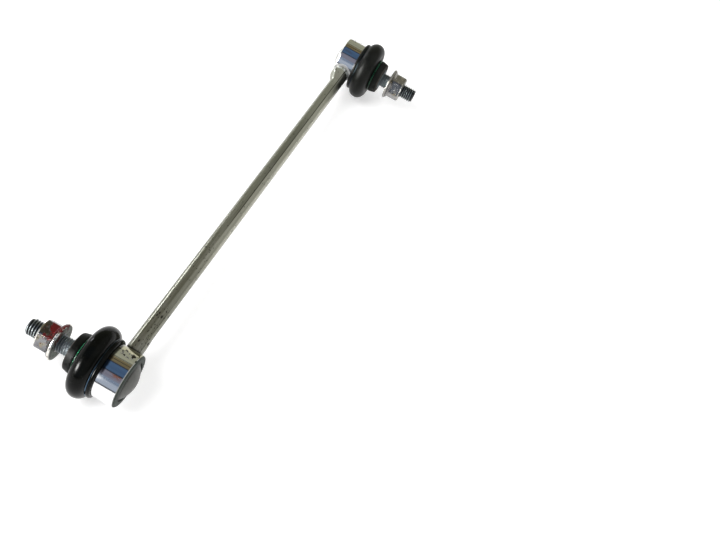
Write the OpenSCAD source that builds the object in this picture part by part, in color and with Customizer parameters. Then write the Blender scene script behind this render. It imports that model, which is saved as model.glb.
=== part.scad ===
// Stabilizer link: a round rod with a ball joint welded to each end.
// X runs along the rod, the left stud points to +Y, the right stud to -Y, and +Z is up.
// The right end is the left end turned half a turn about Z.

/* [Link] */
// Distance between the two ball centres
link_length = 305; // [240:1:380]
// Diameter of the rod
rod_d = 9.3; // [8.6:0.1:9.4]
// Diameter of the rod where it is upset against the left housing
left_upset_d = 9.8; // [9.4:0.1:11]
// Diameter of the rod where it is upset against the right housing
right_upset_d = 12.4; // [10:0.1:12.6]
// Length of the upset stretch of the rod
upset_length = 15; // [10:0.5:18]

/* [Ball joint] */
// Diameter of the ball
ball_d = 16; // [15.5:0.1:16.5]
// Diameter of the stud's neck, between the ball and the boot
neck_d = 8.4; // [7.6:0.1:8.6]
// How far the stud leans to each side, in degrees
lean_limit = 25; // [15:1:26]
// Outer diameter of the housings
housing_d = 31.2; // [30.4:0.1:32.4]
// Depth from the ball centre to the back rim of a housing
housing_back = 8.8; // [8.4:0.1:9.4]
// Height of the closing cap's dome above that rim
dome_height = 3.4; // [2.8:0.1:3.8]

/* [Boot] */
// Widest diameter of the boot
bulge_d = 42.2; // [40.8:0.2:43.6]
// Height of the boot's collar end above the ball centre
collar_end = 25.6; // [25:0.2:27.6]
// Thickness of the rubber
rubber_wall = 1.9; // [1.4:0.1:2.2]

/* [Stud and nut] */
// Nominal thread diameter
thread_d = 10; // [9:0.5:10]
// Diameter of the shoulder that the mating bracket sits on
shoulder_d = 14.8; // [14:0.2:16]
// Length of the stud beyond its shoulder
stud_out = 26.6; // [24:0.2:34]
// Clear length between the shoulder and the left nut
left_nut_gap = 7.7; // [6:0.1:10]
// Clear length between the shoulder and the right nut
right_nut_gap = 5.8; // [5:0.1:10]
// Size of the nuts across their flats
nut_flats = 16; // [15:0.5:17]
// Diameter of the nuts' flange
nut_flange_d = 21.8; // [20.4:0.2:22.8]
// Height of the nuts
nut_height = 11; // [9:0.5:12]

/* [Hidden] */
$fn = 96;
// Clearance between pieces that are fixed to each other
fixed_gap = 0.03;
// Radial clearance between pieces that turn or slide on each other
running_gap = 0.06;
// Clearance kept by a piece that swings past another one
swing_gap = 0.35;

rod_r = rod_d / 2;
// Share of the upset that is cylindrical, next to the housing
upset_full = 0.3;
// How deep an upset's faces lie under the rod's where the two run out together
upset_sink = 0.06;
ball_r = ball_d / 2;
neck_r = neck_d / 2;
housing_r = housing_d / 2;
thread_r = thread_d / 2;

// Bearing shell: a slotted cup around the ball, shaped to the cap behind it
seat_wall = 2.5;
seat_r = ball_r + seat_wall;
seat_hole_r = 3;
seat_slots = 6;
seat_slot_w = 1.2;
// Depth below the ball centre at which the slots end
seat_slot_end = 1;
// Clearance between the shell and the cap's dish
seat_back_gap = 0.2;
// The shell grips the ball up to an angle that leaves the leaning neck free
neck_play = 2.5;
grip_angle = asin(neck_r / ball_r) + lean_limit + neck_play;
seat_front = ball_r * cos(grip_angle);
seat_front_gap = 0.2;

// Closing cap: a disc with a shallow dome, in a groove round which the housing's lip is rolled
bore_r = seat_r + fixed_gap;
lip_t = 0.8;
lip_grip = 1;
cap_t = 1.5;
dome_ledge = 0.3;
groove_w = 0.7;
dome_foot_r = bore_r + dome_ledge;
lip_r = dome_foot_r + groove_w;
cap_r = lip_r + lip_grip;
cap_back = lip_t - housing_back;
cap_front = cap_back + cap_t;
dome_rise = dome_height + lip_t;
dome_apex = cap_back - dome_rise;
dome_r = (dome_foot_r * dome_foot_r + dome_rise * dome_rise) / (2 * dome_rise);
dome_z = dome_apex + dome_r;
dish_r = dome_r - cap_t;
// Radius of the dish where it meets the cap's front face
dish_mouth_r = sqrt(pow(dish_r, 2) - pow(dome_z - cap_front, 2));

// Housing: rolled back rim, bore, throat, mouth and the seat of the boot
rim_round = 2.4;
throat_low = seat_front + seat_front_gap;
throat_h = 1.2;
throat_high = throat_low + throat_h;
boot_seat_w = 2;
boot_seat_r = housing_r - boot_seat_w;
boot_seat_h = 6;
// The boot's base keeps clear of the rod
rod_gap = 0.15;
boot_seat_z = rod_r + rod_gap;
mouth_z = boot_seat_z + boot_seat_h;
boot_hook_h = 0.9;
boot_hook_out = 0.5;
// Radius that the leaning neck needs at height z
function neck_reach(z) = z * tan(lean_limit) + neck_r / cos(lean_limit) + swing_gap;

// Boot: base bead, clamp groove, bulge and collar
bead_r = 1.3;
bead_out = 1.9;
bead_out_r = housing_r + bead_out;
bead_z = boot_seat_z + bead_r + running_gap;
bulge_r = bulge_d / 2;
tube_r = 5.85;
tube_at = bulge_r - tube_r;
bulge_rise = 6.95;
bulge_z = bead_z + bulge_rise;
collar_h = 6.4;
collar_low = collar_end - collar_h;
collar_base_r = 11.9;
collar_base_h = 2.2;
collar_top_r = 10.9;
collar_round = 0.5;
boot_neck_r = 6.2;
boot_top_wall = 1.7;
// Radial run of the ramp inside the boot, from the bulge up to the collar's bore
boot_top_ramp = 2;

// Wire rings that hold the boot
base_wire_r = 0.8;
base_ring_depth = 1;
base_ring_lift = 0.05;
base_ring_z = bead_z + bead_r + base_ring_lift;
base_ring_r = bead_out_r - base_ring_depth;
base_ring_cut = 12;
neck_wire_r = 0.6;
neck_ring_lift = 0.8;
neck_ring_depth = 0.4;
neck_ring_z = collar_low + neck_ring_lift;
neck_ring_r = collar_base_r - neck_ring_depth;

// Stud: neck, cone, shoulder set into the collar's end, pilot and thread
cone_low = 4.6;
cone_high = 1.2;
shoulder_r = shoulder_d / 2;
shoulder_h = 2;
shoulder_out = 0.4;
shoulder_top = collar_end + shoulder_out;
shoulder_low = shoulder_top - shoulder_h;
shoulder_chamfer = 0.4;
pilot_h = 4.6;
pilot_end = shoulder_top + pilot_h;
// The thread is drawn as a cylinder between its crests and its roots
thread_under = 0.2;
shank_r = thread_r - thread_under;
tip_chamfer = 0.9;
stud_tip = shoulder_top + stud_out;
socket_flats = 5;
socket_depth = 6;

// Nut
flange_r = nut_flange_d / 2;
flange_chamfer = 0.4;
flange_edge = 1.4;
flange_top = 3.6;
hex_r = nut_flats / 2 / cos(30);
hex_crown = 0.2;
hex_chamfer_angle = 35;
hex_chamfer_r = nut_flats / 2 + hex_crown;
hex_chamfer_h = (hex_r - hex_chamfer_r) * tan(hex_chamfer_angle);
nut_bore_r = shank_r + running_gap;
nut_lead_in = 0.5;

// How far a cutting shape runs past the face that it cuts
cut_past = 1;

// Puts a piece drawn on its own axis, ball centre at the origin, at the left end
module at_left() {
    translate([-link_length / 2, 0, 0])
        rotate([-90, 0, 0])
            children();
}

// The same at the right end
module at_right() {
    rotate([0, 0, 180])
        at_left()
            children();
}

// Thicker stretch where the rod is upset against a housing. It grows to the sides and to the
// back of the housing, so that the boot's base stays free.
module upset(upset_d) {
    upset_r = upset_d / 2;
    back_shift = upset_r - rod_r + upset_sink;
    full_length = housing_r + upset_full * upset_length;
    translate([0, 0, -back_shift])
        rotate([0, 90, 0]) {
            cylinder(r = upset_r, h = full_length);
            translate([0, 0, full_length])
                cylinder(
                    r1 = upset_r,
                    r2 = rod_r - back_shift - upset_sink,
                    h = (1 - upset_full) * upset_length
                );
        }
}

// Room that a housing takes out of the rod's end
module housing_room() {
    cylinder(r = housing_r, h = 2 * (housing_back + mouth_z), center = true);
}

module rod() {
    color("#8d8c7e")
        difference() {
            union() {
                rotate([0, 90, 0])
                    cylinder(r = rod_r, h = link_length, center = true);
                at_left()
                    upset(left_upset_d);
                at_right()
                    upset(right_upset_d);
            }
            at_left()
                housing_room();
            at_right()
                housing_room();
        }
}

module housing() {
    color("#b9bec4")
        rotate_extrude()
            difference() {
                union() {
                    polygon([
                        [lip_r, -housing_back],
                        [housing_r - rim_round, -housing_back],
                        [housing_r - rim_round, rim_round - housing_back],
                        [housing_r, rim_round - housing_back],
                        [housing_r, boot_seat_z],
                        [boot_seat_r, boot_seat_z],
                        [boot_seat_r, mouth_z - boot_hook_h],
                        [boot_seat_r + boot_hook_out, mouth_z - boot_hook_h / 2],
                        [boot_seat_r, mouth_z],
                        [neck_reach(mouth_z), mouth_z],
                        [neck_reach(throat_high), throat_high],
                        [neck_reach(throat_high), throat_low],
                        [bore_r, throat_low],
                        [bore_r, cap_back],
                        [lip_r, cap_back]
                    ]);
                    translate([housing_r - rim_round, -housing_back])
                        intersection() {
                            translate([0, rim_round])
                                circle(r = rim_round);
                            square(rim_round);
                        }
                }
                translate([0, cap_back - fixed_gap])
                    square([cap_r + fixed_gap, cap_t + 2 * fixed_gap]);
            }
}

module end_cap() {
    color("#77797a")
        rotate_extrude() {
            translate([dish_mouth_r, cap_back])
                square([cap_r - dish_mouth_r, cap_t]);
            intersection() {
                translate([0, dome_z])
                    difference() {
                        circle(r = dome_r);
                        circle(r = dish_r);
                    }
                translate([0, dome_apex])
                    square([dome_foot_r, cap_front - dome_apex]);
            }
        }
}

module ball_seat() {
    color("#e9e4d4")
        difference() {
            rotate_extrude()
                difference() {
                    intersection() {
                        translate([seat_hole_r, dome_apex])
                            square([seat_r - seat_hole_r, seat_front - dome_apex]);
                        translate([0, dome_z])
                            circle(r = dish_r - seat_back_gap);
                    }
                    circle(r = ball_r + running_gap / 2);
                }
            for (turn = [0 : 360 / seat_slots : 359])
                rotate([0, 0, turn])
                    translate([0, -seat_slot_w / 2, dome_apex])
                        cube([seat_r + cut_past, seat_slot_w, -seat_slot_end - dome_apex]);
        }
}

module ball_stud() {
    color("#a9b2ba")
        difference() {
            union() {
                sphere(r = ball_r);
                rotate_extrude()
                    polygon([
                        [0, 0],
                        [neck_r, 0],
                        [neck_r, collar_low - cone_low],
                        [boot_neck_r, collar_low - cone_high],
                        [boot_neck_r, shoulder_low],
                        [shoulder_r - shoulder_chamfer, shoulder_low],
                        [shoulder_r, shoulder_low + shoulder_chamfer],
                        [shoulder_r, shoulder_top - shoulder_chamfer],
                        [shoulder_r - shoulder_chamfer, shoulder_top],
                        [thread_r, shoulder_top],
                        [thread_r, pilot_end],
                        [shank_r, pilot_end],
                        [shank_r, stud_tip - tip_chamfer],
                        [shank_r - tip_chamfer, stud_tip],
                        [0, stud_tip]
                    ]);
            }
            translate([0, 0, stud_tip - socket_depth])
                cylinder(r = socket_flats / 2 / cos(30), h = socket_depth + cut_past, $fn = 6);
        }
}

module boot() {
    color("#1d1e1e")
        rotate_extrude()
            difference() {
                union() {
                    translate([boot_seat_r, bead_z - bead_r])
                        square([bead_out_r - bead_r - boot_seat_r, bulge_z - bead_z]);
                    translate([bead_out_r - bead_r, bead_z])
                        circle(r = bead_r);
                    translate([tube_at, bulge_z])
                        circle(r = tube_r);
                    polygon([
                        [boot_neck_r, collar_low - boot_top_wall],
                        [tube_at, collar_low - boot_top_wall],
                        [collar_base_r, collar_low],
                        [collar_base_r, collar_low + collar_base_h],
                        [collar_top_r, collar_end - collar_round],
                        [collar_top_r - collar_round, collar_end],
                        [boot_neck_r, collar_end]
                    ]);
                }
                translate([tube_at, bulge_z])
                    circle(r = tube_r - rubber_wall);
                polygon([
                    [0, 0],
                    [boot_seat_r + running_gap, 0],
                    [boot_seat_r + running_gap, mouth_z - boot_hook_h - running_gap],
                    [tube_at, bulge_z - tube_r + rubber_wall],
                    [tube_at, bulge_z + tube_r - rubber_wall],
                    [boot_neck_r + boot_top_ramp, collar_low - boot_top_wall],
                    [boot_neck_r + running_gap, collar_low - boot_top_wall],
                    [boot_neck_r + running_gap, shoulder_low - running_gap],
                    [shoulder_r + running_gap, shoulder_low - running_gap],
                    [shoulder_r + running_gap, collar_end + cut_past],
                    [0, collar_end + cut_past]
                ]);
                translate([base_ring_r, base_ring_z])
                    circle(r = base_wire_r + fixed_gap);
                translate([neck_ring_r, neck_ring_z])
                    circle(r = neck_wire_r + running_gap);
            }
}

module base_ring() {
    color("#39434f")
        rotate([0, 0, 180 + base_ring_cut / 2])
            rotate_extrude(angle = 360 - base_ring_cut)
                translate([base_ring_r, base_ring_z])
                    circle(r = base_wire_r);
}

module neck_ring() {
    color("#1f8a4c")
        rotate_extrude()
            translate([neck_ring_r, neck_ring_z])
                circle(r = neck_wire_r);
}

module nut(gap) {
    color("#a8a394")
        translate([0, 0, shoulder_top + gap])
            difference() {
                union() {
                    intersection() {
                        cylinder(r = hex_r, h = nut_height, $fn = 6);
                        rotate_extrude()
                            polygon([
                                [0, 0],
                                [hex_r, 0],
                                [hex_r, nut_height - hex_chamfer_h],
                                [hex_chamfer_r, nut_height],
                                [0, nut_height]
                            ]);
                    }
                    rotate_extrude()
                        polygon([
                            [0, 0],
                            [flange_r - flange_chamfer, 0],
                            [flange_r, flange_chamfer],
                            [flange_r, flange_edge],
                            [nut_flats / 2, flange_top],
                            [0, flange_top]
                        ]);
                }
                rotate_extrude()
                    polygon([
                        [0, -cut_past],
                        [nut_bore_r + nut_lead_in + cut_past, -cut_past],
                        [nut_bore_r, nut_lead_in],
                        [nut_bore_r, nut_height - nut_lead_in],
                        [nut_bore_r + nut_lead_in + cut_past, nut_height + cut_past],
                        [0, nut_height + cut_past]
                    ]);
            }
}

module left_housing() { at_left() housing(); }
module left_end_cap() { at_left() end_cap(); }
module left_ball_seat() { at_left() ball_seat(); }
module left_ball_stud() { at_left() ball_stud(); }
module left_boot() { at_left() boot(); }
module left_base_ring() { at_left() base_ring(); }
module left_neck_ring() { at_left() neck_ring(); }
module left_nut() { at_left() nut(left_nut_gap); }
module right_housing() { at_right() housing(); }
module right_end_cap() { at_right() end_cap(); }
module right_ball_seat() { at_right() ball_seat(); }
module right_ball_stud() { at_right() ball_stud(); }
module right_boot() { at_right() boot(); }
module right_base_ring() { at_right() base_ring(); }
module right_neck_ring() { at_right() neck_ring(); }
module right_nut() { at_right() nut(right_nut_gap); }

rod();
left_housing();
left_end_cap();
left_ball_seat();
left_ball_stud();
left_boot();
left_base_ring();
left_neck_ring();
left_nut();
right_housing();
right_end_cap();
right_ball_seat();
right_ball_stud();
right_boot();
right_base_ring();
right_neck_ring();
right_nut();
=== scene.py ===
"""Looks of a stabilizer link: threaded pieces, rubber boots and aged zinc over the CAD frame."""
import math

import bpy
from mathutils import Matrix, Vector


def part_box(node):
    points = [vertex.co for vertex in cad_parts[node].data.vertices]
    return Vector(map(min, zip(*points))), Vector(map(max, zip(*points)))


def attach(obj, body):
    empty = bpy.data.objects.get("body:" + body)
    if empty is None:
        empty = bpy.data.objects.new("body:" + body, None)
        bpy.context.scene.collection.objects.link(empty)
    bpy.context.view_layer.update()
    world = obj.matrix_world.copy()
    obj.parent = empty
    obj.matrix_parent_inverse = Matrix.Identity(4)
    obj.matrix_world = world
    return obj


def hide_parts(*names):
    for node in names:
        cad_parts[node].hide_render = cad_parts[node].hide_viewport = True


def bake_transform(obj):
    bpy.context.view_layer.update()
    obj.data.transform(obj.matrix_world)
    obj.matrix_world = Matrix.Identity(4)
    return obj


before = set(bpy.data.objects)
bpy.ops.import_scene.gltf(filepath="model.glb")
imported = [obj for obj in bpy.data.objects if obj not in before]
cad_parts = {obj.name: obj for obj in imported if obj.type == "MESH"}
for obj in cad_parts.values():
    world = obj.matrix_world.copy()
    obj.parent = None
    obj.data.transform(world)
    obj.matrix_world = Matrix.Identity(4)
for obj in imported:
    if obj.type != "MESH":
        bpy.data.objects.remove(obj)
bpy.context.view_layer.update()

MM = 0.001
TAU = 2 * math.pi

# Side of the origin, along X, on which each end's ball lies; along Y its stud points to the other side
ENDS = {"left": -1, "right": 1}
BALL_X = (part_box("right_ball_stud")[0].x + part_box("right_ball_stud")[1].x) / 2 / MM


def along_left(node):
    """Lowest and highest place of a left-end node along its stud and its outer radius, in mm."""
    low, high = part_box("left_" + node)
    return low.y / MM, high.y / MM, high.z / MM


# Sizes that the frame gives, in millimetres along the stud from the ball centre
HOUSING_BACK, HOUSING_MOUTH, HOUSING_R = along_left("housing")
DOME_APEX, CAP_FRONT, CAP_R = along_left("end_cap")
BOOT_LOW, COLLAR_END, BULGE_R = along_left("boot")
BALL_LOW, STUD_TIP, BALL_R = along_left("ball_stud")
BASE_RING_LOW, BASE_RING_HIGH, BASE_RING_R = along_left("base_ring")
NECK_RING_LOW, NECK_RING_HIGH, NECK_RING_R = along_left("neck_ring")
NUT_LOW, NUT_HIGH, NUT_FLANGE_R = along_left("nut")
NUT_HEIGHT = NUT_HIGH - NUT_LOW
BASE_WIRE_R = (BASE_RING_HIGH - BASE_RING_LOW) / 2
BASE_RING_Z = (BASE_RING_HIGH + BASE_RING_LOW) / 2
NECK_WIRE_R = (NECK_RING_HIGH - NECK_RING_LOW) / 2
NECK_RING_Z = (NECK_RING_HIGH + NECK_RING_LOW) / 2

# The other sizes, in millimetres, first the gap between pieces that meet
CLEARANCE = 0.06

# Rod and its upset ends
ROD_R = 4.65
UPSET_R = {"left": 4.9, "right": 6.2}
UPSET_LENGTH = 15

# Housing
RIM_ROUNDING = 3.4
MOUTH_R = 10.0
THROAT_R = 7.3
THROAT_Z = 4.9
SHELL_WALL = 2.53

# Closing cap
CAP_T = 1.5
LIP_GRIP = 1
CAP_BACK = CAP_FRONT - CAP_T
LIP_R = CAP_R - LIP_GRIP
DOME_FOOT_R = LIP_R - 0.7
CAP_DISH_R = 10.4

# Boot
BEAD_R = 1.3
BEAD_AT = HOUSING_R + 0.6
BEAD_Z = BOOT_LOW + BEAD_R
TUBE_R = 5.85
TUBE_AT = BULGE_R - TUBE_R
BULGE_Z = BEAD_Z + 6.95
RUBBER_WALL = 1.9
BOOT_SEAT_R = HOUSING_R - 1.94
COLLAR_LOW = COLLAR_END - 6.4
COLLAR_BASE_R = 11.9
COLLAR_TOP_R = 10.9
COLLAR_BORE_R = 6.26

# Wires that hold the boot: how much thinner than the CAD ring, and the gap between the ends in degrees
BASE_WIRE_SLACK = 0.02
BASE_WIRE_GAP = 12
NECK_WIRE_SLACK = 0.12
NECK_WIRE_GAP = 3

# Stud
NECK_R = 4.2
CONE_TOP_R = 6.2
SHOULDER_R = 7.4
SHOULDER_TOP = COLLAR_END + 0.4
SHOULDER_LOW = SHOULDER_TOP - 2
PILOT_ROOT_R = 4.68
PILOT_END = SHOULDER_TOP + 4.6
PITCH = 1.5
CREST_R = 4.95
ROOT_R = 4.2
TIP_CHAMFER = 0.9
SOCKET_FLATS = 5
SOCKET_DEPTH = 6
SOCKET_MOUTH_R = 3.3

# Nut
NUT_FLATS = 16
FLANGE_EDGE = 1.5
FLANGE_CONE_TOP = 3.8
BORE_CHAMFER = 0.9


def end_matrix(end):
    """Takes a piece drawn in mm about its stud's axis (+Z, ball centre at the origin) to its end."""
    upright = Matrix.Rotation(-math.pi / 2, 4, "X")
    left = Matrix.Scale(MM, 4) @ Matrix.Translation((-BALL_X, 0, 0)) @ upright
    if end == "left":
        return left
    return Matrix.Rotation(math.pi, 4, "Z") @ left


def rounded(corners, steps=5):
    """Outline through (r, z, rounding) corners, each rounded by a curve that starts that far from it."""
    most_of_a_side = 0.48
    points = []
    last = len(corners) - 1
    for i, (r, z, rounding) in enumerate(corners):
        corner = Vector((r, z))
        if i in (0, last) or not rounding:
            points.append(tuple(corner))
            continue
        before = Vector(corners[i - 1][:2]) - corner
        after = Vector(corners[i + 1][:2]) - corner
        reach = min(rounding, most_of_a_side * before.length, most_of_a_side * after.length)
        start = corner + before.normalized() * reach
        stop = corner + after.normalized() * reach
        for k in range(steps + 1):
            t = k / steps
            points.append(tuple(start * (1 - t) ** 2 + corner * 2 * t * (1 - t) + stop * t ** 2))
    return points


def arc(centre_r, centre_z, radius, start, stop, steps):
    """Points on a circle in the (r, z) plane, angles in degrees from the +r direction."""
    points = []
    for k in range(steps + 1):
        angle = math.radians(start + (stop - start) * k / steps)
        points.append((centre_r + radius * math.cos(angle), centre_z + radius * math.sin(angle)))
    return points


def turned(rows, segments=96):
    """Vertices and faces of rings about Z. A row is (radius, z), the radius plain or by the angle."""
    vertices, faces, rings = [], [], []
    for radius, z in rows:
        if not callable(radius) and radius < 1e-6:
            rings.append([len(vertices)])
            vertices.append((0, 0, z))
            continue
        ring = []
        for k in range(segments):
            angle = TAU * k / segments
            r = radius(angle) if callable(radius) else radius
            ring.append(len(vertices))
            vertices.append((r * math.cos(angle), r * math.sin(angle), z))
        rings.append(ring)
    for low, high in zip(rings, rings[1:]):
        for k in range(segments):
            n = (k + 1) % segments
            corners = [low[k % len(low)], low[n % len(low)], high[n % len(high)], high[k % len(high)]]
            faces.append(tuple(dict.fromkeys(corners)))
    return vertices, faces


def swept(sections):
    """Skin over closed sections, each a list of as many points, with both ends closed."""
    sides = len(sections[0])
    vertices = [point for section in sections for point in section]
    faces = []
    for i in range(len(sections) - 1):
        a, b = i * sides, (i + 1) * sides
        for k in range(sides):
            n = (k + 1) % sides
            faces.append((a + k, b + k, b + n, a + n))
    faces.append(tuple(range(sides)))
    faces.append(tuple(reversed(range(len(vertices) - sides, len(vertices)))))
    return vertices, faces


def together(first, second):
    """Two shapes as one."""
    shift = len(first[0])
    return first[0] + second[0], first[1] + [tuple(i + shift for i in face) for face in second[1]]


def piece(name, shape, matrix, material, sharp=35):
    """A smooth-shaded object from (vertices, faces), placed in the row frame, with its finish.

    Edges that bend by more than sharp degrees are kept crisp.
    """
    mesh = bpy.data.meshes.new(name)
    mesh.from_pydata([matrix @ Vector(v) for v in shape[0]], [], shape[1])
    mesh.validate()
    mesh.update()
    mesh.polygons.foreach_set("use_smooth", [True] * len(mesh.polygons))
    mesh.set_sharp_from_angle(angle=math.radians(sharp))
    mesh.materials.append(material)
    made = bpy.data.objects.new(name, mesh)
    bpy.context.scene.collection.objects.link(made)
    return made


class Finish:
    """A material's node tree, with short ways to add the nodes that the finishes below are made of."""

    def __init__(self, name):
        self.material = bpy.data.materials.new(name)
        self.material.use_nodes = True
        self.tree = self.material.node_tree
        self.shader = self.tree.nodes["Principled BSDF"]
        where = self.add("ShaderNodeTexCoord").outputs["Object"]
        scaled = self.add("ShaderNodeVectorMath", operation="SCALE")
        self.join(where, scaled.inputs[0])
        scaled.inputs["Scale"].default_value = 1 / MM
        self.place = scaled.outputs[0]

    def add(self, kind, **settings):
        """A new node."""
        made = self.tree.nodes.new(kind)
        for name, value in settings.items():
            setattr(made, name, value)
        return made

    def join(self, source, target):
        """Links one node's output to another's input."""
        self.tree.links.new(source, target)

    def feed(self, value, socket):
        """Links a socket's value, or sets a plain one."""
        if isinstance(value, bpy.types.NodeSocket):
            self.join(value, socket)
        else:
            socket.default_value = value

    def stretched(self, factors, offset=(0, 0, 0)):
        """Place in millimetres, moved and then stretched along each axis."""
        made = self.add("ShaderNodeMapping")
        self.join(self.place, made.inputs["Vector"])
        made.inputs["Location"].default_value = [o * f for o, f in zip(offset, factors)]
        made.inputs["Scale"].default_value = factors
        return made.outputs["Vector"]

    def moved(self, *offset):
        """Place in millimetres, moved."""
        return self.stretched((1, 1, 1), offset)

    def noise(self, scale, vector=None, detail=4, roughness=0.55):
        """Cloudy noise, from 0 to 1."""
        made = self.add("ShaderNodeTexNoise")
        self.join(vector or self.place, made.inputs["Vector"])
        made.inputs["Scale"].default_value = scale
        made.inputs["Detail"].default_value = detail
        made.inputs["Roughness"].default_value = roughness
        return made.outputs["Fac"]

    def cells(self, scale, vector=None):
        """Distance to the nearest of a scatter of points."""
        made = self.add("ShaderNodeTexVoronoi")
        self.join(vector or self.place, made.inputs["Vector"])
        made.inputs["Scale"].default_value = scale
        return made.outputs["Distance"]

    def span(self, value, low, high, to_low=0.0, to_high=1.0):
        """Smooth step of a value from low to high."""
        made = self.add("ShaderNodeMapRange", interpolation_type="SMOOTHSTEP")
        self.feed(value, made.inputs["Value"])
        names = ("From Min", "From Max", "To Min", "To Max")
        for name, number in zip(names, (low, high, to_low, to_high)):
            made.inputs[name].default_value = number
        return made.outputs["Result"]

    def sums(self, operation, a, b=0.0):
        """One operation of arithmetic."""
        made = self.add("ShaderNodeMath", operation=operation)
        self.feed(a, made.inputs[0])
        self.feed(b, made.inputs[1])
        return made.outputs[0]

    def times(self, *values):
        """Product of values."""
        total = values[0]
        for value in values[1:]:
            total = self.sums("MULTIPLY", total, value)
        return total

    def away(self, value, centre):
        """How far a value is from a centre, to either side."""
        return self.sums("ABSOLUTE", self.sums("SUBTRACT", value, centre))

    def length(self, a, b):
        """Length of the plane vector (a, b)."""
        return self.sums("SQRT", self.sums("ADD", self.times(a, a), self.times(b, b)))

    def degrees(self, rise, run):
        """Angle of a rise over a run."""
        return self.times(self.sums("ARCTAN2", rise, run), 180 / math.pi)

    def mix(self, share, a, b):
        """Colour a with a share of colour b."""
        made = self.add("ShaderNodeMix", data_type="RGBA")
        self.feed(share, made.inputs["Factor"])
        for value, socket in ((a, made.inputs[6]), (b, made.inputs[7])):
            self.feed(value if isinstance(value, bpy.types.NodeSocket) else (*value, 1), socket)
        return made.outputs[2]

    def axes(self, vector):
        """The three coordinates of a vector."""
        made = self.add("ShaderNodeSeparateXYZ")
        self.join(vector, made.inputs[0])
        return made.outputs

    def around(self, end):
        """Place about an end's stud: angle from +X in degrees, distance from the axis, height."""
        x, y, z = self.axes(self.moved(-ENDS[end] * BALL_X, 0, 0))
        return self.degrees(z, x), self.length(x, z), self.times(y, -ENDS[end])

    def bump(self, height, strength, distance):
        """Fine relief, with its depth in millimetres."""
        made = self.add("ShaderNodeBump")
        self.join(height, made.inputs["Height"])
        made.inputs["Strength"].default_value = strength
        made.inputs["Distance"].default_value = distance * MM
        self.join(made.outputs["Normal"], self.shader.inputs["Normal"])

    def done(self, colour, roughness, metallic=0.0, specular=0.5):
        """The material, with its shader fed."""
        self.feed(colour, self.shader.inputs["Base Color"])
        self.feed(roughness, self.shader.inputs["Roughness"])
        self.feed(metallic, self.shader.inputs["Metallic"])
        self.feed(specular, self.shader.inputs["Specular IOR Level"])
        return self.material


# Finish of the rod. Places along it are X in millimetres, and angles about it are degrees from the top
ROD_OLIVE = ((0.148, 0.148, 0.108), (0.235, 0.235, 0.192))
ROD_CLOUD = (0.26, 0.26, 0.24)
ROD_RIGHT = (0.30, 0.305, 0.25)
ROD_SWELLING = (0.43, 0.44, 0.38)
# Painted reflections on the rod: a dark side, a pale side and a dark line between them
ROD_DARK_REFLECTION = (0.10, 0.10, 0.078)
ROD_PALE_REFLECTION = (0.50, 0.495, 0.41)
ROD_BLACK = (0.012, 0.012, 0.008)
REFLECTED_LINE = (0.02, 0.016, 0.009)
REFLECTED_LINE_AT = -14
# Painted reflection of the dark boot on the rod
BOOT_REFLECTION = (0.012, 0.013, 0.01)
# Painted highlight on the rod's end by the right weld
PAINTED_GLINT = (0.85, 0.88, 0.86)
# Where the painted shade at the welds fades, and where the painted highlight by the right weld lies
CREASE_SHADE_FADE = (1.0, 1.9)
GLINT_AT = 3.2
ROD_SPECULAR = 0.15


def rod_tones(f, streaks):
    """Grey-olive plating with pale clouds, paler towards the right end and palest on its swelling."""
    x = f.axes(f.place)[0]
    clouds = f.noise(0.07, detail=4)
    colour = f.mix(f.span(streaks, 0.3, 0.7), *ROD_OLIVE)
    colour = f.mix(f.span(clouds, 0.5, 0.75, 0, 0.5), colour, ROD_CLOUD)
    colour = f.mix(f.span(x, -130, 130, 0, 0.75), colour, ROD_RIGHT)
    return f.mix(f.span(x, 112, 130, 0, 0.8), colour, ROD_SWELLING)


def rod_reflections(f, colour, streaks):
    """Adds painted reflections: a dark side, a pale one and a dark line between them."""
    x, y, z = f.axes(f.place)
    turn = f.degrees(y, z)
    # Painted reflections of the surroundings: a dark side, a pale side and a dark line along the rod
    dark = f.times(f.span(turn, -16, -12), f.span(turn, 34, 16), f.span(x, 0, 35), f.span(x, 85, 60))
    colour = f.mix(f.times(dark, 0.4), colour, ROD_DARK_REFLECTION)
    pale = f.times(f.span(turn, -15, -19), f.span(x, -115, -30), f.span(x, 112, 92))
    colour = f.mix(f.times(pale, 0.5), colour, ROD_PALE_REFLECTION)
    width = f.span(f.away(turn, REFLECTED_LINE_AT), 1.8, 3.4, 1, 0)
    line = f.times(width, f.span(x, -50, -20), f.span(streaks, 0.36, 0.5, 0.75, 1))
    return f.mix(line, colour, REFLECTED_LINE)


def rod_specks(f):
    """Share of dark specks: large pits at the left end and fine ones all along, in patches."""
    x = f.axes(f.place)[0]
    left_end = f.span(x, -138, -96, 0.36, 0)
    patches = f.span(f.sums("ADD", f.noise(0.16, detail=3), left_end), 0.48, 0.58)
    pits = f.cells(0.36, f.stretched((0.5, 1, 1)))
    fine_pits = f.cells(0.8, f.stretched((0.6, 1, 1), (3, 8, 5)))
    large = f.times(f.span(pits, 0.17, 0.28, 1, 0), f.span(x, -112, -96, 1, 0))
    specks = f.sums("MAXIMUM", large, f.span(fine_pits, 0.2, 0.3, 0.9, 0))
    return f.times(specks, patches)


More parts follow.
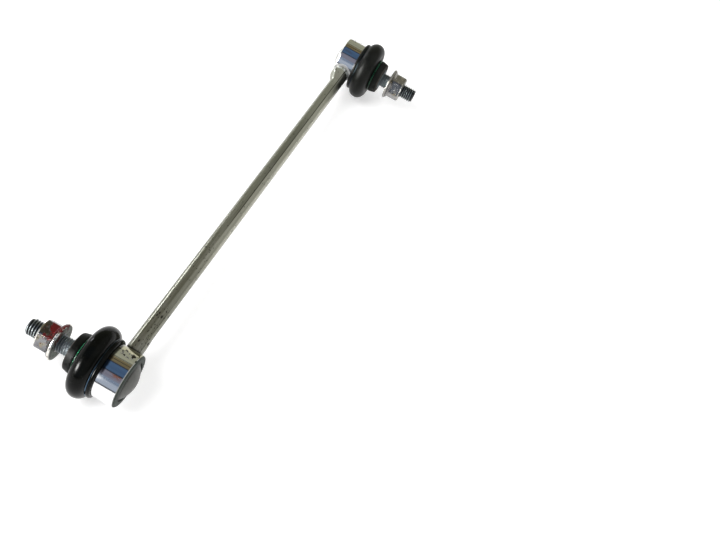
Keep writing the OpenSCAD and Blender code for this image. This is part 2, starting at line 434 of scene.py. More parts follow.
def rod_welds(f):
    """Shares of painted shade in the crease at both housings, and of a painted highlight next to the right
    one.
    """
    nearest = f.sums("MINIMUM", f.around("left")[1], f.around("right")[1])
    ragged = f.times(f.noise(0.5, detail=3), 0.8)
    from_weld = f.sums("ADD", f.sums("SUBTRACT", nearest, HOUSING_R), ragged)
    # Painted shade in the crease where the rod meets each housing
    crease_shade = f.span(from_weld, *CREASE_SHADE_FADE, 1, 0)
    # Painted highlight: a bright crescent on the rod's end next to the right housing
    band = f.span(f.away(from_weld, GLINT_AT), 0.7, 1.3, 1, 0)
    right_end = f.span(f.axes(f.place)[0], 100, 110)
    broken = f.span(f.noise(0.5, f.moved(4, 9, 2), detail=2), 0.4, 0.5)
    return crease_shade, f.times(band, right_end, broken)


def rod_finish():
    """Dull zinc with drawing streaks and specks; painted reflections on its sides and of the right boot,
    painted shade at the welds, a painted highlight by the right weld.
    """
    f = Finish("rod_zinc")
    x, y, _ = f.axes(f.place)
    streaks = f.noise(0.9, f.stretched((0.03, 1, 1)), detail=5)
    colour = rod_reflections(f, rod_tones(f, streaks), streaks)
    specks = rod_specks(f)
    colour = f.mix(specks, colour, ROD_BLACK)
    # Painted reflection of the dark boot on the rod's side next to the right boot
    boot_reflection = f.times(f.span(x, 106, 122), f.span(y, -0.4, -3))
    colour = f.mix(f.times(boot_reflection, 0.93), colour, BOOT_REFLECTION)
    crease_shade, glint = rod_welds(f)
    # Painted shade at the welds, stronger on the left
    colour = f.mix(f.times(crease_shade, f.span(x, -100, 100, 0.95, 0.45)), colour, ROD_BLACK)
    # Painted highlight by the right weld
    colour = f.mix(glint, colour, PAINTED_GLINT)
    f.bump(f.sums("SUBTRACT", streaks, specks), strength=0.3, distance=0.1)
    metallic = f.times(f.span(specks, 0, 1, 0.6, 0.1), f.span(crease_shade, 0, 1, 1, 0.2))
    return f.done(colour, f.span(streaks, 0.25, 0.75, 0.13, 0.22), metallic, ROD_SPECULAR)


# Finish of the housings. The left one has a painted dark reflection on the rim and painted shade at the
# weld, the right one a painted pale reflection on the rim and less shade. Angles about the stud are
# degrees from +X towards +Z
ZINC_TONES = ((0.92, 0.92, 0.91), (0.78, 0.79, 0.80))
# Painted olive reflection on the weld's side of the left housing
OLIVE_REFLECTION = (0.36, 0.345, 0.225)
OLIVE_REFLECTION_FADE = (58, 61)
GRIME_AND_SHADE_AT = 80
# Painted shade, round the weld, and with grime along the boot
HOUSING_SHADE_AND_GRIME = (0.01, 0.01, 0.008)
WELD_SHADE_SHARE = {"left": 0.95, "right": 0.4}
DIRT = (0.014, 0.012, 0.007)
DIRT_AT = 62
SMEAR = (0.95, 0.43, 0.24)
SMEAR_SHARE = {"left": 0.95, "right": 0.25}
SMEAR_AT = 117
SMEAR_HEIGHT = -3.6
# Painted reflection on the rim: dark on the left, pale on the right
RIM_REFLECTION = {"left": (0.045, 0.054, 0.046), "right": (0.82, 0.82, 0.78)}
RIM_DULLING = {"left": 0.5, "right": 0.25}
RIM_METAL = {"left": 0.1, "right": 1}
RIM_SPECULAR = {"left": 0.15, "right": 0.5}


def left_reflection_and_shade(f, colour, turn, height, grain):
    """Adds a painted olive reflection on the side of the weld, and painted shade with grime along the
    boot.
    """
    # Painted reflection: an olive band on the weld's side of the housing
    olive_reflection = f.span(f.sums("ADD", f.sums("ABSOLUTE", turn), f.times(grain, 3)), *OLIVE_REFLECTION_FADE, 1, 0)
    colour = f.mix(olive_reflection, colour, OLIVE_REFLECTION)
    # Painted shade of the boot's bead on the housing, with grime that gathers there
    edge = f.sums("ADD", height, f.times(f.noise(0.35, detail=4), 1.6))
    along_boot = f.span(edge, BOOT_LOW - 1.6, BOOT_LOW - 0.4)
    grime = f.times(along_boot, f.span(f.away(turn, GRIME_AND_SHADE_AT), 35, 58, 0.95, 0))
    return f.mix(grime, colour, HOUSING_SHADE_AND_GRIME)


def weld_shade(f, end):
    """Share of painted shade in a ring round the rod's weld."""
    x, y, z = f.axes(f.place)
    swell = UPSET_R[end] - ROD_R
    from_rod = f.length(f.sums("SUBTRACT", y, ENDS[end] * swell), z)
    ring = f.span(from_rod, UPSET_R[end] + 0.4, UPSET_R[end] + 1.2, 1, 0)
    inboard = f.span(f.times(x, ENDS[end]), BALL_X - 4, BALL_X - 2, 1, 0)
    return f.times(ring, inboard)


def housing_dirt(f, turn):
    """Share of dark spots, which gather about one angle with fine specks between them."""
    apart = f.span(f.away(turn, DIRT_AT), 8, 20)
    spots = f.span(f.sums("SUBTRACT", f.noise(0.5, detail=2), f.times(apart, 0.3)), 0.545, 0.585)
    fine = f.times(f.span(f.cells(0.8), 0.16, 0.28, 1, 0), f.span(f.noise(0.3, detail=2), 0.48, 0.56))
    return f.sums("MAXIMUM", spots, f.times(fine, f.span(apart, 0, 1, 0.9, 0)))


def housing_smear(f, turn, height):
    """Share of a torn, rust-coloured smear."""
    across = f.span(f.away(turn, SMEAR_AT), 2, 6, 1, 0)
    along = f.span(f.away(height, SMEAR_HEIGHT), 1.8, 4.2, 1, 0)
    torn = f.span(f.noise(0.6, f.stretched((1, 0.3, 1), (9, 4, 2)), detail=5), 0.42, 0.55)
    return f.times(across, along, torn)


def housing_finish(end):
    """Bright turned zinc: painted shade round the weld, dirt, a smear and a dull rim with a painted
    reflection, more of it on the left.
    """
    f = Finish(end + "_housing_zinc")
    turn, _, height = f.around(end)
    grain = f.noise(0.5, f.stretched((1, 0.1, 1)), detail=5)
    colour = f.mix(f.span(grain, 0.3, 0.75), *ZINC_TONES)
    if end == "left":
        colour = left_reflection_and_shade(f, colour, turn, height, grain)
    weld_shade_share = weld_shade(f, end)
    # Painted shade round the rod's weld
    colour = f.mix(f.times(weld_shade_share, WELD_SHADE_SHARE[end]), colour, HOUSING_SHADE_AND_GRIME)
    dirt = housing_dirt(f, turn)
    colour = f.mix(dirt, colour, DIRT)
    colour = f.mix(f.times(housing_smear(f, turn, height), SMEAR_SHARE[end]), colour, SMEAR)
    # Painted reflection on the rim
    rim = f.span(height, HOUSING_BACK + 0.7, HOUSING_BACK + 1.3, 1, 0)
    colour = f.mix(rim, colour, RIM_REFLECTION[end])
    f.bump(f.sums("SUBTRACT", grain, dirt), strength=0.05, distance=0.05)
    rough = f.sums("ADD", f.span(grain, 0.2, 0.8, 0.06, 0.12), f.times(rim, RIM_DULLING[end]))
    clean = f.span(f.sums("MAXIMUM", dirt, weld_shade_share), 0, 1, 1, 0.1)
    metallic = f.times(clean, f.span(rim, 0, 1, 1, RIM_METAL[end]))
    return f.done(colour, rough, metallic, RIM_SPECULAR[end])


# Finish of the closing caps: the left one is darker, and the right one paler with painted light
CAP_TONES = {
    "left": ((0.088, 0.090, 0.083), (0.130, 0.130, 0.121)),
    # The right cap paler: painted light
    "right": ((0.56, 0.56, 0.545), (0.72, 0.72, 0.70)),
}
CAP_SPECK = (0.04, 0.035, 0.025)
# Painted shade in the groove round the dome
CAP_GROOVE_SHADE = (0.012, 0.012, 0.010)


def cap_finish(end):
    """Satin grey zinc, darker in the groove round the dome with painted shade."""
    f = Finish(end + "_cap_zinc")
    clouds = f.noise(0.18, detail=6)
    fine = f.noise(2.2, detail=4)
    colour = f.mix(f.span(clouds, 0.3, 0.7), *CAP_TONES[end])
    specks = f.times(f.span(f.cells(0.9), 0.14, 0.24, 1, 0), f.span(clouds, 0.5, 0.6))
    colour = f.mix(specks, colour, CAP_SPECK)
    height = f.around(end)[2]
    # Painted shade in the groove round the dome
    groove_shade = f.span(height, CAP_BACK - 1.4, CAP_BACK - 0.5)
    colour = f.mix(f.times(groove_shade, 0.92), colour, CAP_GROOVE_SHADE)
    f.bump(fine, strength=0.12, distance=0.05)
    return f.done(colour, f.span(clouds, 0.3, 0.7, 0.38, 0.5), f.span(groove_shade, 0, 1, 0.85, 0.2))


# Finish of the studs; the thread's roots have painted shade, one tone up to the nut's seat and a darker
# one beyond it
STUD_TONES = {
    "left": ((0.24, 0.275, 0.31), (0.40, 0.435, 0.46)),
    "right": ((0.15, 0.18, 0.195), (0.26, 0.295, 0.31)),
}
THREAD_TONE = (0.14, 0.165, 0.17)
# Painted shade in the thread's roots
ROOT_SHADE_TONES = ((0.075, 0.09, 0.10), (0.012, 0.013, 0.013))
CREST_TONE = (0.72, 0.75, 0.73)
CREST_WEAR = {"left": 0.25, "right": 0.12}


def stud_finish(end):
    """Blue-grey zinc, with painted shade in the thread's roots, and worn bright on its crests."""
    f = Finish(end + "_stud_zinc")
    _, far, height = f.around(end)
    clouds = f.noise(0.3, detail=5)
    colour = f.mix(f.span(clouds, 0.3, 0.7), *STUD_TONES[end])
    threaded = f.span(height, SHOULDER_TOP, SHOULDER_TOP + 0.3)
    colour = f.mix(f.times(threaded, 0.6), colour, THREAD_TONE)
    # Painted shade in the thread's roots
    root_shade = f.times(threaded, f.span(far, ROOT_R + 0.3, CREST_R - 0.06, 1, 0))
    outer = f.span(height, NUT_LOW, NUT_LOW + 2)
    colour = f.mix(root_shade, colour, f.mix(outer, *ROOT_SHADE_TONES))
    worn = f.times(threaded, f.span(far, CREST_R - 0.12, CREST_R - 0.03), CREST_WEAR[end])
    colour = f.mix(worn, colour, CREST_TONE)
    f.bump(clouds, strength=0.1, distance=0.05)
    rough = f.sums("ADD", f.span(clouds, 0.3, 0.7, 0.34, 0.46), f.span(outer, 0, 1, 0.2, 0))
    return f.done(colour, rough, f.span(root_shade, 0, 1, 0.9, 0.4))


# Finish of the nuts. The paint's patch has a middle and half a width, by angle and by height
NUT_TONES = {
    "left": ((0.17, 0.17, 0.178), (0.27, 0.27, 0.28)),
    "right": ((0.17, 0.165, 0.16), (0.25, 0.245, 0.24)),
}
YELLOW_CAST = (0.36, 0.30, 0.17)
NUT_GRIME = (0.045, 0.045, 0.028)
NUT_GRIME_SHARE = {"left": 0.75, "right": 0.15}
NUT_SEAT_FACE = (0.145, 0.16, 0.13)
NUT_PIT = (0.02, 0.025, 0.018)
NUT_WORN = (0.92, 0.90, 0.84)
NUT_WEAR = {"left": 0.85, "right": 0.2}
# Painted light on the right nut's top face
TOP_FACE_LIGHT = (0.27, 0.25, 0.20)
TOP_FACE_LIGHT_AT = 90
RED_PAINT = (0.085, 0.005, 0.005)
PAINT_AT = 80
PAINT_ANGLE = 36
PAINT_HEIGHT = NUT_LOW + 3.6
PAINT_LENGTH = 3.8


def nut_wear(f, far, height, seat):
    """Share of wear, on the flange's edge and on the chamfer at the nut's end."""
    top = seat + NUT_HEIGHT
    edge = f.span(far, NUT_FLANGE_R - 0.9, NUT_FLANGE_R - 0.3)
    chamfer = f.times(f.span(height, top - 0.9, top - 0.4), f.span(far, 6.4, 7.4))
    return f.sums("MAXIMUM", edge, chamfer)


def nut_paint(f, turn, height):
    """Share of paint: a torn patch on the upper faces, and spots."""
    torn = f.times(f.sums("SUBTRACT", f.noise(0.3, f.moved(2, 8, 5), detail=5), 0.5), 3.4)
    across = f.times(f.away(turn, PAINT_AT), 1 / PAINT_ANGLE)
    along = f.times(f.away(height, PAINT_HEIGHT), 1 / PAINT_LENGTH)
    patch = f.span(f.sums("ADD", f.sums("MAXIMUM", across, along), torn), 0.86, 0.92, 1, 0)
    spots = f.span(f.noise(0.6, f.moved(12, 3, 9), detail=2), 0.65, 0.68)
    return f.sums("MAXIMUM", patch, f.times(spots, f.span(turn, 20, 40)))


def nut_finish(end, seat):
    """Zinc with a yellow cast, grime, pits and wear; the left nut has red paint, the right painted light
    on a less metallic top face.
    """
    f = Finish(end + "_nut_zinc")
    turn, far, height = f.around(end)
    clouds = f.noise(0.25, detail=3)
    colour = f.mix(f.span(clouds, 0.35, 0.65), *NUT_TONES[end])
    yellow = f.span(f.noise(0.2, f.moved(31, 7, 3), detail=4), 0.56, 0.68)
    colour = f.mix(f.times(yellow, 0.5), colour, YELLOW_CAST)
    grime = f.span(f.noise(0.33, f.moved(5, 17, 11), detail=3), 0.56, 0.64)
    colour = f.mix(f.times(grime, NUT_GRIME_SHARE[end]), colour, NUT_GRIME)
    face = f.span(height, seat + 0.4, seat + 0.1)
    colour = f.mix(f.times(face, 0.75), colour, NUT_SEAT_FACE)
    pits = f.times(f.span(f.cells(0.45), 0.22, 0.34, 1, 0), f.span(height, seat + 2.5, seat + 1.5))
    colour = f.mix(f.times(pits, 0.85), colour, NUT_PIT)
    worn = nut_wear(f, far, height, seat)
    colour = f.mix(f.times(worn, NUT_WEAR[end]), colour, NUT_WORN)
    metallic = f.span(grime, 0, 1, 0.97, 0.4)
    rough = f.sums("ADD", f.span(clouds, 0.3, 0.7, 0.12, 0.26), f.times(face, 0.35))
    if end == "left":
        paint = nut_paint(f, turn, height)
        colour = f.mix(paint, colour, RED_PAINT)
        metallic = f.times(metallic, f.span(paint, 0, 1, 1, 0))
        rough = f.sums("ADD", rough, f.times(paint, 0.12))
    else:
        # Painted light on the right nut's top face, which is also less metallic
        lit_top_face = f.span(f.away(turn, TOP_FACE_LIGHT_AT), 27, 31, 1, 0)
        colour = f.mix(f.times(lit_top_face, 0.5), colour, TOP_FACE_LIGHT)
        metallic = f.times(metallic, f.span(lit_top_face, 0, 1, 1, 0.75))
        rough = f.sums("ADD", rough, f.times(worn, 0.35))
    f.bump(clouds, strength=0.04, distance=0.05)
    return f.done(colour, rough, metallic)


# Finish of the boots: the left one is glossy, the right one satin
RUBBER_TONES = {
    "left": ((0.0022, 0.0025, 0.0021), (0.0048, 0.0052, 0.0046)),
    "right": ((0.006, 0.0065, 0.0055), (0.011, 0.0115, 0.0102)),
}
RUBBER_ROUGHNESS = {"left": (0.13, 0.18), "right": (0.38, 0.46)}
RUBBER_SPECULAR = {"left": 0.085, "right": 0.12}
DUST = (0.06, 0.06, 0.055)
# Painted highlight on the collar's edge
COLLAR_EDGE_HIGHLIGHT = (0.075, 0.068, 0.06)


def rubber_finish(end):
    """Black moulded rubber, faintly mottled, with a fine skin, a little dust, a matt collar and a painted
    highlight on the collar's edge.
    """
    f = Finish(end + "_rubber")
    skin = f.noise(1.6, detail=6)
    clouds = f.noise(0.12, detail=4)
    colour = f.mix(f.span(clouds, 0.35, 0.7), *RUBBER_TONES[end])
    dust = f.times(f.span(f.cells(0.5), 0.10, 0.18, 1, 0), f.span(clouds, 0.52, 0.62))
    colour = f.mix(f.times(dust, 0.3), colour, DUST)
    height = f.sums("ABSOLUTE", f.axes(f.place)[1])
    # Painted highlight along the collar's end
    edge = f.span(height, COLLAR_END - 0.9, COLLAR_END - 0.4)
    colour = f.mix(f.times(edge, 0.7), colour, COLLAR_EDGE_HIGHLIGHT)
    f.bump(skin, strength=0.08, distance=0.05)
    collar = f.span(height, COLLAR_LOW, COLLAR_LOW + 1, 0, 0.3)
    rough = f.sums("ADD", f.span(clouds, 0.3, 0.7, *RUBBER_ROUGHNESS[end]), collar)
    return f.done(colour, rough, specular=RUBBER_SPECULAR[end])


# Finishes of the wires and the bearing shells; the right green wire is darkened with painted shade
WIRE_TONES = ((0.006, 0.01, 0.012), (0.016, 0.026, 0.032))
# Painted blue glint on the left wire
WIRE_BLUE_GLINT = (0.065, 0.11, 0.165)
GREEN_TONES = ((0.006, 0.11, 0.045), (0.012, 0.24, 0.10))
GREEN_SHADE = {"left": 1, "right": 0.35}
ACETAL_TONES = ((0.72, 0.68, 0.56), (0.58, 0.52, 0.38))


def ring_finish(end):
    """Dark oiled spring wire, with a painted blue glint on the left end's outer side."""
    f = Finish(end + "_ring_wire")
    clouds = f.noise(0.5, detail=4)
    colour = f.mix(f.span(clouds, 0.3, 0.7), *WIRE_TONES)
    if end == "left":
        # Painted blue glint on the left wire's outer side
        outer = f.span(f.axes(f.place)[0], -BALL_X - 4, -BALL_X - 14)
        colour = f.mix(outer, colour, WIRE_BLUE_GLINT)
    return f.done(colour, f.span(clouds, 0.3, 0.7, 0.3, 0.45), 0.8)


def green_finish(end):
    """Green coated wire."""
    f = Finish(end + "_green_wire")
    clouds = f.noise(0.35, detail=4)
    # The right wire darker: painted shade
    dark, light = ([GREEN_SHADE[end] * c for c in tone] for tone in GREEN_TONES)
    colour = f.mix(f.span(clouds, 0.35, 0.65), dark, light)
    return f.done(colour, f.span(clouds, 0.3, 0.7, 0.22, 0.36))


def acetal_finish():
    """Ivory moulded plastic with a trace of grease."""
    f = Finish("bearing_acetal")
    clouds = f.noise(0.2, detail=3)
    colour = f.mix(f.span(clouds, 0.4, 0.7), *ACETAL_TONES)
    return f.done(colour, f.span(clouds, 0.3, 0.7, 0.32, 0.5))


# Rod

def rod_sections(segments=48):
    """Round sections along X. Towards a housing they swell, to its back only, and turn in at the weld."""
    weld_x = BALL_X - HOUSING_R
    swell_steps = 18
    swell_share = 0.72
    turn_in = 1.8
    turn_in_steps = 8
    turn_in_share = 0.5
    sunk = 3
    sections = []
    for end, side in ENDS.items():
        swell = UPSET_R[end] - ROD_R
        steps = [UPSET_LENGTH * (1 - k / swell_steps) for k in range(swell_steps + 1)]
        steps += [turn_in * (1 - k / turn_in_steps) for k in range(1, turn_in_steps + 1)]
        row = []
        for before in sorted(set(steps), reverse=True):
            t = min(1, (UPSET_LENGTH - before) / (swell_share * UPSET_LENGTH))
            grow = swell * t * t * (3 - 2 * t)
            fall = max(0, turn_in - before) / turn_in
            radius = ROD_R + grow - turn_in_share * swell * (1 - math.sqrt(1 - fall * fall))
            row.append((side * (weld_x - before), radius, side * grow))
        row.append((side * (weld_x + sunk), radius, side * swell))
        sections += row if side > 0 else row[::-1]
    angles = [TAU * k / segments for k in range(segments)]
    return [[(x, y + r * math.cos(a), r * math.sin(a)) for a in angles] for x, r, y in sections]


rod = piece("rod_bar", swept(rod_sections()), Matrix.Scale(MM, 4), rod_finish())
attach(rod, "link_body")
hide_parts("rod")


# Housings and their closing caps

def housing_rows():
    """From the rolled lip over the rim to the boot's seat and the mouth, then down the throat and bore."""
    seat_z = BOOT_LOW - CLEARANCE
    throat_low = THROAT_Z - 1.1
    bore_top = THROAT_Z - 1.2
    bore_r = BALL_R + SHELL_WALL
    return rounded([
        (LIP_R, CAP_BACK, 0), (LIP_R, HOUSING_BACK, 0.35), (HOUSING_R, HOUSING_BACK, RIM_ROUNDING),
        (HOUSING_R, seat_z, 0.2), (BOOT_SEAT_R, seat_z, 0.1), (BOOT_SEAT_R, HOUSING_MOUTH, 0.3),
        (MOUTH_R, HOUSING_MOUTH, 0.3), (THROAT_R, THROAT_Z, 0.2), (THROAT_R, throat_low, 0.1),
        (bore_r, bore_top, 0.1), (bore_r, CAP_FRONT, 0),
    ], steps=8)


def cap_rows():
    """Shallow dome and the flat rim that the lip holds."""
    rise = CAP_BACK - DOME_APEX
    sphere = (DOME_FOOT_R ** 2 + rise ** 2) / (2 * rise)
    foot = math.degrees(math.asin(DOME_FOOT_R / sphere))
    dome = arc(0, DOME_APEX + sphere, sphere, -90, -90 + foot, 24)
    dome[0] = (0, DOME_APEX)
    rim = rounded([(CAP_R, CAP_BACK, 0), (CAP_R, CAP_FRONT, 0.2), (CAP_DISH_R, CAP_FRONT, 0)])
    return dome + rim


for end in ENDS:
    housing = piece(end + "_housing_shell", turned(housing_rows(), segments=160), end_matrix(end),
                    housing_finish(end))
    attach(housing, "link_body")
    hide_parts(end + "_housing")
    cap = piece(end + "_cap_dome", turned(cap_rows()), end_matrix(end), cap_finish(end))
    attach(cap, "link_body")
    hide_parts(end + "_end_cap")


# Ball studs

def hexagon(flats):
    """Radius of a hexagon with a corner at angle 0, as a function of the angle."""
    return lambda angle: flats / 2 / math.cos((angle % (TAU / 6)) - TAU / 12)


def stud_rows():
    """Ball, neck, cone, shoulder, pilot, the thread's core, the tip and the hexagon socket in it."""
    meet = math.degrees(math.acos(NECK_R / BALL_R))
    ball = arc(0, 0, BALL_R, -90, meet, 32)
    ball[0] = (0, BALL_LOW)
    neck_low = ball[-1][1] + 0.1
    cone_low = COLLAR_LOW - 4.6
    cone_top = COLLAR_LOW - 1.2
    core_low = PILOT_END + 0.7
    core_top = STUD_TIP - 0.6
    tip_r = CREST_R - TIP_CHAMFER
    shank = rounded([
        (NECK_R, neck_low, 0), (NECK_R, cone_low, 1.5), (CONE_TOP_R, cone_top, 0.8),
        (CONE_TOP_R, SHOULDER_LOW, 0.1), (SHOULDER_R, SHOULDER_LOW, 0.4), (SHOULDER_R, SHOULDER_TOP, 0.4),
        (PILOT_ROOT_R, SHOULDER_TOP, 0.3), (PILOT_ROOT_R, PILOT_END, 0.5), (ROOT_R, core_low, 0.2),
        (ROOT_R, core_top, 0.1), (tip_r, STUD_TIP, 0.25), (SOCKET_MOUTH_R, STUD_TIP, 0),
    ])
    side = hexagon(SOCKET_FLATS)
    floor = STUD_TIP - SOCKET_DEPTH
    return ball + shank + [(side, STUD_TIP - 0.3), (side, floor), (0, floor - 1)]


def thread_ridge(steps=48):
    """The thread's ridge, swept along its helix, shallow where it starts and cut by the tip's chamfer."""
    first, last = SHOULDER_TOP + 0.5 * PITCH, STUD_TIP - 0.45 * PITCH
    half_foot, half_crest = 0.46, 0.1
    start_height = 0.15
    inside = ROOT_R - 0.15
    turns = (last - first) / PITCH
    sections = []
    for i in range(round(turns * steps) + 1):
        angle = TAU * i / steps
        z = first + PITCH * i / steps
        height = min(1, start_height + i / steps) * (CREST_R - ROOT_R)
        crest = min(ROOT_R + height, CREST_R - max(0, z - STUD_TIP + TIP_CHAMFER))
        profile = [(inside, -half_foot), (crest, -half_crest), (crest, half_crest), (inside, half_foot)]
        sections.append([(r * math.cos(angle), r * math.sin(angle), z + dz * PITCH) for r, dz in profile])
    return swept(sections)


for end in ENDS:
    threaded = together(turned(stud_rows()), thread_ridge())
    stud = piece(end + "_stud_threaded", threaded, end_matrix(end), stud_finish(end),
                 sharp=40)
    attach(stud, end + "_stud_body")
    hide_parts(end + "_ball_stud")


# Nuts

def nut_outside(z):
    """Radius at a height as a function of the angle: the chamfered hexagon or the flange's cone."""
    flat_r = NUT_FLATS / 2
    blunt_r = flat_r / math.cos(TAU / 12) - 0.2
    chamfer_r = flat_r + 0.1 + (NUT_HEIGHT - z) / math.tan(math.radians(40))
    cone_r = NUT_FLANGE_R - (z - FLANGE_EDGE) * (NUT_FLANGE_R - flat_r) / (FLANGE_CONE_TOP - FLANGE_EDGE)
    side = hexagon(NUT_FLATS)
    return lambda angle: max(min(side(angle), blunt_r, chamfer_r), cone_r)


def nut_rows(steps=48):
    """From the middle of the bore under the flange, up the outside and back into the bore."""
    bore_r = CREST_R + CLEARANCE
    sink_r = bore_r + BORE_CHAMFER
    middle = NUT_HEIGHT / 2
    rows = rounded([
        (bore_r, middle, 0), (bore_r, 0.7, 0), (sink_r, 0.0, 0.1), (NUT_FLANGE_R, 0, 0.7),
        (NUT_FLANGE_R, FLANGE_EDGE, 0.7), (NUT_FLANGE_R - 1.2, FLANGE_EDGE + 0.4, 0),
    ])
    start = FLANGE_EDGE + 0.5
    for k in range(steps + 1):
        z = start + (NUT_HEIGHT - start) * k / steps
        rows.append((nut_outside(z), z))
    return rows + [(sink_r, NUT_HEIGHT), (bore_r, NUT_HEIGHT - BORE_CHAMFER), (bore_r, middle)]


for end in ENDS:
    low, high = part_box(end + "_nut")
    seat = -ENDS[end] * (low.y + high.y) / 2 / MM - NUT_HEIGHT / 2
    to_seat = end_matrix(end) @ Matrix.Translation((0, 0, seat))
    hex_nut = turned(nut_rows(), segments=120)
    nut = piece(end + "_nut_hex", hex_nut, to_seat, nut_finish(end, seat), sharp=28)
    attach(nut, end + "_nut_body")
    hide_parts(end + "_nut")


# Boots and the wires that hold them

def boot_rows():
    """Closed outline of the rubber: bead, clamp groove, bulge, ring groove, collar, and back inside."""
    # Each arc runs between the angles at which it meets the next ones
    bead = arc(BEAD_AT, BEAD_Z, BEAD_R, -90, 41, 10)
    base_groove = arc(BASE_RING_R - BASE_WIRE_R, BASE_RING_Z, BASE_WIRE_R + 0.04, 322, 8, 14)
    bulge = arc(TUBE_AT, BULGE_Z, TUBE_R, -69, 106, 44)
    ring_groove = arc(NECK_RING_R - NECK_WIRE_R, NECK_RING_Z, NECK_WIRE_R + CLEARANCE, 292, 62, 10)
    recess_r = SHOULDER_R + CLEARANCE
    recess_low = SHOULDER_LOW - CLEARANCE
    bore_low = COLLAR_LOW - 1.7
    collar = rounded([
        ring_groove[-1] + (0,), (COLLAR_BASE_R, COLLAR_LOW + 2.2, 0.6), (COLLAR_TOP_R, COLLAR_END, 0.8),
        (recess_r, COLLAR_END, 0.2), (recess_r, recess_low, 0.1),
        (COLLAR_BORE_R, recess_low, 0.1), (COLLAR_BORE_R, bore_low, 0.3),
        (COLLAR_BORE_R + 2, bore_low, 0.8), (TUBE_AT - 0.8, BULGE_Z + TUBE_R - RUBBER_WALL, 0),
    ])
    inside = arc(TUBE_AT, BULGE_Z, TUBE_R - RUBBER_WALL, 95, -105, 24)
    bevel = 0.3
    foot = [(BOOT_SEAT_R, HOUSING_MOUTH - 1.5), (BOOT_SEAT_R, BOOT_LOW + bevel),
            (BOOT_SEAT_R + bevel, BOOT_LOW), (BEAD_AT, BOOT_LOW)]
    return bead + base_groove + bulge + ring_groove + collar + inside + foot


def wire_ring(ring_r, z, wire_r, gap, steps=140, sides=12):
    """Round wire bent into a ring that is open by a gap in degrees, on the side away from the rod."""
    sections = []
    for i in range(steps + 1):
        angle = math.radians(180 + gap / 2 + (360 - gap) * i / steps)
        section = []
        for k in range(sides):
            side = TAU * k / sides
            r = ring_r + wire_r * math.cos(side)
            section.append((r * math.cos(angle), r * math.sin(angle), z + wire_r * math.sin(side)))
        sections.append(section)
    return swept(sections)


base_wire = wire_ring(BASE_RING_R - BASE_WIRE_R, BASE_RING_Z,
                      BASE_WIRE_R - BASE_WIRE_SLACK, BASE_WIRE_GAP)
neck_wire = wire_ring(NECK_RING_R - NECK_WIRE_R, NECK_RING_Z,
                      NECK_WIRE_R - NECK_WIRE_SLACK, NECK_WIRE_GAP)

for end in ENDS:
    to_end = end_matrix(end)
    rubber = turned(boot_rows(), segments=144)
    boot = piece(end + "_boot_rubber", rubber, to_end, rubber_finish(end), sharp=60)
    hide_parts(end + "_boot")
    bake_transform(boot)
    base = piece(end + "_base_wire", base_wire, to_end, ring_finish(end), sharp=60)
    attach(base, end + "_boot_body")
    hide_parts(end + "_base_ring")
    neck = piece(end + "_neck_wire", neck_wire, to_end, green_finish(end), sharp=60)
    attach(neck, end + "_neck_body")
    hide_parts(end + "_neck_ring")


# Bearing shells stay as the CAD has them, with a finish of their own
acetal = acetal_finish()
for end in ENDS:
    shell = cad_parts[end + "_ball_seat"]
    shell.data.materials.clear()
    shell.data.materials.append(acetal)


# Floor, surroundings, light and camera

def shows_background(tree):
    """1 for rays that show the background: from the camera, off gloss or through glass."""
    path = tree.nodes.new("ShaderNodeLightPath")
    total = path.outputs["Is Camera Ray"]
    for name in ("Is Glossy Ray", "Is Transmission Ray"):
        top = tree.nodes.new("ShaderNodeMath")
        top.operation = "MAXIMUM"
        tree.links.new(total, top.inputs[0])
        tree.links.new(path.outputs[name], top.inputs[1])
        total = top.outputs[0]
    return total


class Sky(Finish):
    """The world's node tree: plain light for the object, and surroundings that only gloss shows."""

    def __init__(self):
        self.world = bpy.data.worlds.new("surroundings")
        self.world.use_nodes = True
        self.tree = self.world.node_tree
        self.place = self.add("ShaderNodeTexCoord").outputs["Generated"]

    def patch(self, colour, direction, inner, outer, patch_colour):
        """Adds a round patch about a direction; inner and outer are angles in degrees."""
        made = self.add("ShaderNodeVectorMath", operation="DOT_PRODUCT")
        self.join(self.place, made.inputs[0])
        made.inputs[1].default_value = Vector(direction).normalized()
        edge = [math.cos(math.radians(angle)) for angle in (outer, inner)]
        return self.mix(self.span(made.outputs["Value"], *edge), colour, patch_colour)


# What gloss shows, by the angle about the Y axis in degrees: olive growth low down, then bands from an
# angle on (a tan bank, blue overhead, two of dull sky, pale haze), and dark lines with their widths
GROWTH = (0.30, 0.30, 0.22)
BANDS = (
    (53, (0.155, 0.126, 0.067)),
    (76, (0.057, 0.104, 0.19)),
    (115, (0.19, 0.188, 0.24)),
    (138, (0.19, 0.24, 0.33)),
    (150, (0.36, 0.41, 0.50)),
)
LINES = ((50, 1), (63, 1), (77, 1.5), (114, 1.5), (177, 2))
LINE_TONE = (0.02, 0.02, 0.022)

# And along Y: a paler light on the right stud's side, and what lies straight ahead of either stud
PALE_SIDE = (0.45, 0.45, 0.43)
AHEAD_OF_RIGHT = (0.075, 0.08, 0.066)
AHEAD_OF_LEFT = (1.15, 1.15, 1.12)

# Bright patches of that surround: the sun with its glow, and the light along the rod's edge
SUN_WAY = (-0.69, 0.63, 0.36)
SUN = (85, 85, 84)
SUN_GLOW = (6, 6, 5.9)
EDGE_LIGHT_WAY = (0.478, 0.862, 0.15)
EDGE_LIGHT = (24, 24.3, 26.5)


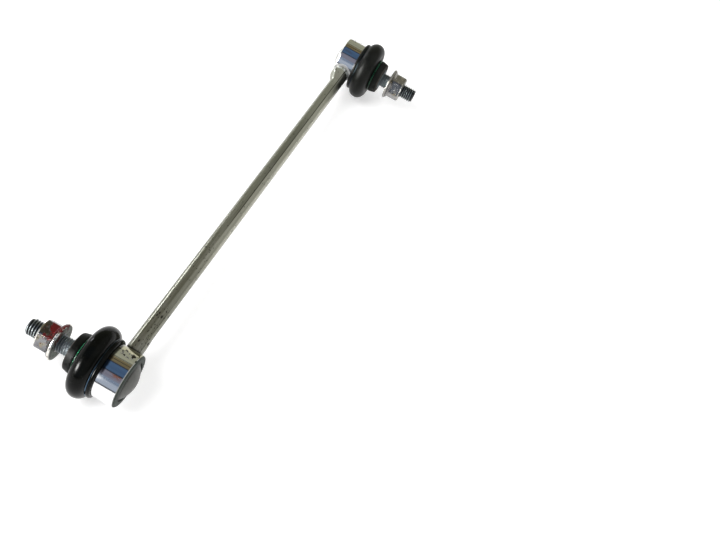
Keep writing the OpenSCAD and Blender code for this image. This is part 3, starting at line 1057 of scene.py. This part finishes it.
def make_world():
    """White to the camera, even light for the object, and to gloss the bands and patches above."""
    sky = Sky()
    x, y, z = sky.axes(sky.place)
    rise = sky.degrees(z, x)
    blur = 2
    colour = GROWTH
    for start, band in BANDS:
        colour = sky.mix(sky.span(rise, start - blur, start + blur), colour, band)
    for edge, width in LINES:
        line = sky.span(sky.away(rise, edge), 0.8 * width, 2.4 * width, 0.8, 0)
        colour = sky.mix(line, colour, LINE_TONE)
    colour = sky.mix(sky.span(y, -0.2, -0.3, 0, 0.7), colour, PALE_SIDE)
    colour = sky.mix(sky.span(y, -0.82, -0.95), colour, AHEAD_OF_RIGHT)
    colour = sky.mix(sky.span(y, 0.8, 0.92), colour, AHEAD_OF_LEFT)
    colour = sky.patch(colour, SUN_WAY, inner=8, outer=26, patch_colour=SUN_GLOW)
    colour = sky.patch(colour, SUN_WAY, inner=3, outer=13, patch_colour=SUN)
    colour = sky.patch(colour, EDGE_LIGHT_WAY, inner=1, outer=5, patch_colour=EDGE_LIGHT)
    shown = shows_background(sky.tree)
    seen = sky.add("ShaderNodeLightPath").outputs["Is Camera Ray"]
    colour = sky.mix(sky.sums("SUBTRACT", shown, seen), (1, 1, 1), colour)
    background = sky.tree.nodes["Background"]
    sky.join(colour, background.inputs["Color"])
    sky.join(sky.span(shown, 0, 1, 0.5, 1), background.inputs["Strength"])
    bpy.context.scene.world = sky.world


def make_floor():
    """A pale ground that keeps the shadows and stays white to the eye, also away from the lamps."""
    half = 3
    gap = 0.2
    grey = (0.7, 0.7, 0.7, 1)
    near, far = 400, 1500
    corners = [(-half, -half, 0), (half, -half, 0), (half, half, 0), (-half, half, 0)]
    mesh = bpy.data.meshes.new("floor")
    mesh.from_pydata(corners, [], [(0, 1, 2, 3)])
    floor = bpy.data.objects.new("floor", mesh)
    floor.location.z = -(BULGE_R + gap) * MM
    bpy.context.scene.collection.objects.link(floor)
    f = Finish("pale_floor")
    x, y, _ = f.axes(f.place)
    lift = f.span(f.length(x, y), near, far, 0.5, 0.68)
    f.shader.inputs["Emission Color"].default_value = (1, 1, 1, 1)
    f.join(f.times(lift, shows_background(f.tree)), f.shader.inputs["Emission Strength"])
    mesh.materials.append(f.done(grey, roughness=0.9))


def make_lamp(name, place, size, watts):
    """A round lamp that points at the origin and that gloss doesn't show."""
    lamp = bpy.data.lights.new(name, "AREA")
    lamp.shape = "DISK"
    lamp.size = size
    lamp.energy = watts
    made = bpy.data.objects.new(name, lamp)
    made.location = place
    made.rotation_euler = Vector(place).to_track_quat("Z", "Y").to_euler()
    made.visible_glossy = False
    bpy.context.scene.collection.objects.link(made)


# The photograph's viewpoint, from a fit of the link's outlines
CAMERA_PLACE = (-0.33513, -0.09418, 0.42418)
CAMERA_BACK = (-0.6051, -0.0201, 0.7959)
CAMERA_UP = (0.6873, 0.4914, 0.5349)
CAMERA_LENS = 42.624
CAMERA_SENSOR = 36


def make_camera():
    """The camera at that viewpoint."""
    back = Vector(CAMERA_BACK).normalized()
    right = Vector(CAMERA_UP).cross(back).normalized()
    up = back.cross(right)
    camera = bpy.data.cameras.new("camera")
    camera.sensor_width = CAMERA_SENSOR
    camera.lens = CAMERA_LENS
    made = bpy.data.objects.new("camera", camera)
    turn = Matrix((right, up, back)).transposed().to_4x4()
    made.matrix_world = Matrix.Translation(Vector(CAMERA_PLACE)) @ turn
    bpy.context.scene.collection.objects.link(made)
    bpy.context.scene.camera = made


make_world()
make_floor()
make_lamp("key", place=(-0.5, 0.45, 0.9), size=0.6, watts=8)
make_lamp("fill", place=(0.4, -0.8, 0.7), size=0.8, watts=4)
make_camera()
bpy.context.scene.view_settings.view_transform = "Standard"
